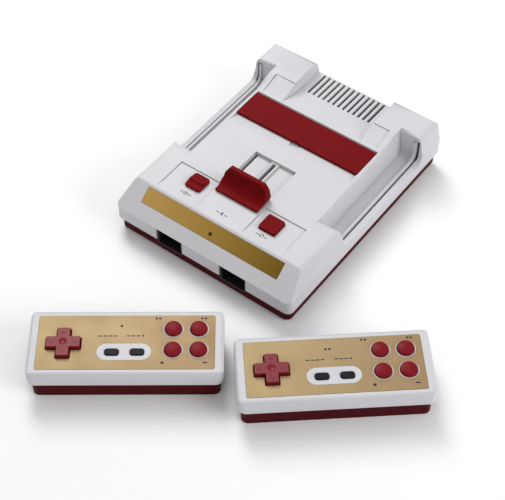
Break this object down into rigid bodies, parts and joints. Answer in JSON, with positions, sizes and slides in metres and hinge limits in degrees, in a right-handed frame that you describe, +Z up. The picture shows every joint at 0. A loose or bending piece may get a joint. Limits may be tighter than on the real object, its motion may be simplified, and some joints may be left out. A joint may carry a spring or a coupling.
{
  "type": "game console with controllers",
  "caption": "Low table-top game console with a hinged cartridge flap, eject lever, power slide and reset button, plus two flat rectangular hand controllers with cross pads and round buttons.",
  "frame": {"origin": "on the table under the centre of the console", "axes": "+Z up, -Y is the console's front, +X its right side; the controllers lie in front of it"},
  "size_m": [0.2849, 0.3674, 0.0585],
  "materials": {
    "white_plastic": "satin moulded plastic, fine spark texture",
    "maroon_plastic": "satin moulded plastic",
    "red_plastic": "satin moulded plastic",
    "button_plastic": "glossy moulded plastic",
    "gold_plate": "metallic gold print, fine brushed",
    "gold_strip": "metallic gold print, deeper in tone than the face plates",
    "black_plastic": "matte black",
    "key_rubber": "smooth black rubber",
    "membrane_rubber": "matte grey silicone",
    "rubber": "matte black rubber",
    "steel": "bright steel",
    "heat_sink": "plain aluminium",
    "contact_metal": "gold-coloured contact metal",
    "board": "green solder mask",
    "capacitor_sleeve": "shrink sleeve",
    "led_lens": "dark red lens"
  },
  "bodies": {
    "console": {"top_shell": "white_plastic", "bottom_shell": "maroon_plastic", "front_plate": "gold_strip", "power_led": "led_lens", "flap_hinge_pin": "steel", "eject_spring": "steel", "power_switch": "steel", "reset_spring": "steel", "reset_switch": "black_plastic", "main_board": "board", "cartridge_connector": "black_plastic", "connector_contacts": "contact_metal", "chips": "black_plastic", "capacitors": "capacitor_sleeve", "voltage_regulator": "heat_sink", "port_housings": "black_plastic", "port_pins": "contact_metal", "dc_jack": "black_plastic", "av_jacks": "contact_metal", "shell_screws": "steel", "board_screws": "steel", "rubber_feet": "rubber"},
    "flap": {"cartridge_flap": "red_plastic"},
    "eject": {"eject_lever": "red_plastic", "eject_slider": "black_plastic"},
    "yoke": {"ejector_yoke": "black_plastic"},
    "power": {"power_knob": "red_plastic", "power_switch_slider": "black_plastic"},
    "reset": {"reset_button": "red_plastic"},
    "pad1": {"pad1_top_shell": "white_plastic", "pad1_bottom_shell": "maroon_plastic", "pad1_face_plate": "gold_plate", "pad1_membrane": "membrane_rubber", "pad1_board": "board", "pad1_screws": "steel", "pad1_gland": "rubber"},
    "pad1_rock": {"pad1_rocker": "steel"},
    "pad1_cross": {"pad1_dpad": "button_plastic"},
    "pad1_button_a_body": {"pad1_button_a": "button_plastic"},
    "pad1_button_b_body": {"pad1_button_b": "button_plastic"},
    "pad1_turbo_a_body": {"pad1_turbo_a": "button_plastic"},
    "pad1_turbo_b_body": {"pad1_turbo_b": "button_plastic"},
    "pad1_select_body": {"pad1_select": "key_rubber"},
    "pad1_start_body": {"pad1_start": "key_rubber"},
    "pad2": {"pad2_top_shell": "white_plastic", "pad2_bottom_shell": "maroon_plastic", "pad2_face_plate": "gold_plate", "pad2_membrane": "membrane_rubber", "pad2_board": "board", "pad2_screws": "steel", "pad2_gland": "rubber"},
    "pad2_rock": {"pad2_rocker": "steel"},
    "pad2_cross": {"pad2_dpad": "button_plastic"},
    "pad2_button_a_body": {"pad2_button_a": "button_plastic"},
    "pad2_button_b_body": {"pad2_button_b": "button_plastic"},
    "pad2_turbo_a_body": {"pad2_turbo_a": "button_plastic"},
    "pad2_turbo_b_body": {"pad2_turbo_b": "button_plastic"},
    "pad2_select_body": {"pad2_select": "key_rubber"},
    "pad2_start_body": {"pad2_start": "key_rubber"}
  },
  "joints": [
    {"name": "flap_hinge", "type": "hinge", "parent": "console", "child": "flap", "pos_m": [0, 0.045, 0.0404], "axis": [-1, 0, 0], "range_deg": [0, 100]},
    {"name": "eject_slide", "type": "slide", "parent": "console", "child": "eject", "axis": [0, 1, 0], "range_m": [0, 0.026], "stiffness_N_per_m": 60, "springref_m": -0.03, "deforming": ["eject_spring"]},
    {"name": "yoke_lift", "type": "slide", "parent": "console", "child": "yoke", "axis": [0, 0, 1], "range_m": [0, 0.005]},
    {"name": "power_slide", "type": "slide", "parent": "console", "child": "power", "axis": [0, 1, 0], "range_m": [0, 0.0026]},
    {"name": "reset_press", "type": "slide", "parent": "console", "child": "reset", "axis": [0, 0, -1], "range_m": [0, 0.0015], "stiffness_N_per_m": 400, "springref_m": -0.001, "deforming": ["reset_spring"]},
    {"name": "pad1_lift", "type": "slide", "parent": "console", "child": "pad1", "axis": [0, 0, 1], "range_m": [0, 0.1]},
    {"name": "pad1_dpad_up_down", "type": "hinge", "parent": "pad1", "child": "pad1_rock", "pos_m": [-0.02459, -0.22396, 0.0224], "axis": [0.8015, 0.598, 0], "range_deg": [-4, 4], "stiffness_Nm_per_rad": 0.1},
    {"name": "pad1_dpad_left_right", "type": "hinge", "parent": "pad1_rock", "child": "pad1_cross", "pos_m": [-0.02459, -0.22396, 0.0224], "axis": [-0.598, 0.8015, 0], "range_deg": [-4, 4], "stiffness_Nm_per_rad": 0.1},
    {"name": "pad1_button_a_press", "type": "slide", "parent": "pad1", "child": "pad1_button_a_body", "axis": [0, 0, -1], "range_m": [0, 0.0015], "stiffness_N_per_m": 350, "springref_m": -0.001},
    {"name": "pad1_button_b_press", "type": "slide", "parent": "pad1", "child": "pad1_button_b_body", "axis": [0, 0, -1], "range_m": [0, 0.0015], "stiffness_N_per_m": 350, "springref_m": -0.001},
    {"name": "pad1_turbo_a_press", "type": "slide", "parent": "pad1", "child": "pad1_turbo_a_body", "axis": [0, 0, -1], "range_m": [0, 0.0015], "stiffness_N_per_m": 350, "springref_m": -0.001},
    {"name": "pad1_turbo_b_press", "type": "slide", "parent": "pad1", "child": "pad1_turbo_b_body", "axis": [0, 0, -1], "range_m": [0, 0.0015], "stiffness_N_per_m": 350, "springref_m": -0.001},
    {"name": "pad1_select_press", "type": "slide", "parent": "pad1", "child": "pad1_select_body", "axis": [0, 0, -1], "range_m": [0, 0.0012], "stiffness_N_per_m": 350, "springref_m": -0.001},
    {"name": "pad1_start_press", "type": "slide", "parent": "pad1", "child": "pad1_start_body", "axis": [0, 0, -1], "range_m": [0, 0.0012], "stiffness_N_per_m": 350, "springref_m": -0.001},
    {"name": "pad2_lift", "type": "slide", "parent": "console", "child": "pad2", "axis": [0, 0, 1], "range_m": [0, 0.1]},
    {"name": "pad2_dpad_up_down", "type": "hinge", "parent": "pad2", "child": "pad2_rock", "pos_m": [0.10427, -0.15613, 0.0224], "axis": [0.7646, 0.6445, 0], "range_deg": [-4, 4], "stiffness_Nm_per_rad": 0.1},
    {"name": "pad2_dpad_left_right", "type": "hinge", "parent": "pad2_rock", "child": "pad2_cross", "pos_m": [0.10427, -0.15613, 0.0224], "axis": [-0.6445, 0.7646, 0], "range_deg": [-4, 4], "stiffness_Nm_per_rad": 0.1},
    {"name": "pad2_button_a_press", "type": "slide", "parent": "pad2", "child": "pad2_button_a_body", "axis": [0, 0, -1], "range_m": [0, 0.0015], "stiffness_N_per_m": 350, "springref_m": -0.001},
    {"name": "pad2_button_b_press", "type": "slide", "parent": "pad2", "child": "pad2_button_b_body", "axis": [0, 0, -1], "range_m": [0, 0.0015], "stiffness_N_per_m": 350, "springref_m": -0.001},
    {"name": "pad2_turbo_a_press", "type": "slide", "parent": "pad2", "child": "pad2_turbo_a_body", "axis": [0, 0, -1], "range_m": [0, 0.0015], "stiffness_N_per_m": 350, "springref_m": -0.001},
    {"name": "pad2_turbo_b_press", "type": "slide", "parent": "pad2", "child": "pad2_turbo_b_body", "axis": [0, 0, -1], "range_m": [0, 0.0015], "stiffness_N_per_m": 350, "springref_m": -0.001},
    {"name": "pad2_select_press", "type": "slide", "parent": "pad2", "child": "pad2_select_body", "axis": [0, 0, -1], "range_m": [0, 0.0012], "stiffness_N_per_m": 350, "springref_m": -0.001},
    {"name": "pad2_start_press", "type": "slide", "parent": "pad2", "child": "pad2_start_body", "axis": [0, 0, -1], "range_m": [0, 0.0012], "stiffness_N_per_m": 350, "springref_m": -0.001}
  ],
  "couplings": [
    {"joint": "yoke_lift", "follows": "eject_slide", "ratio": 0.1923}
  ]
}
